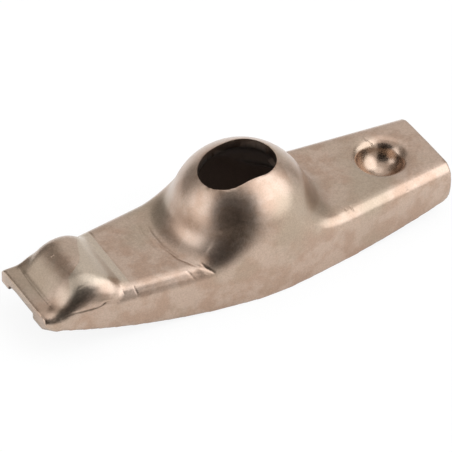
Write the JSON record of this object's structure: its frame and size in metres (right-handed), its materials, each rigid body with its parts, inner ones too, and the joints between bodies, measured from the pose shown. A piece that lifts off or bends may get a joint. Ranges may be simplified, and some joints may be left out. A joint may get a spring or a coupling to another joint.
{
  "type": "rocker arm",
  "caption": "Pressed sheet-steel valve rocker arm: a tapering channel with a slotted ball-seat dome, a concave pushrod cup and a raised valve pad.",
  "frame": {"origin": "centre of the pivot ball that sits in the dome", "axes": "+X along the arm towards the pushrod cup, the valve pad at -X; +Z out of the convex side of the dome, towards the cylinder head; the arm stands on the lower edges of its walls"},
  "size_m": [0.0537, 0.0164, 0.0144],
  "materials": {
    "heat_treated_steel": "satin, warm grey-brown from heat treatment"
  },
  "bodies": {
    "root": {"rocker_arm": "heat_treated_steel"}
  },
  "joints": []
}
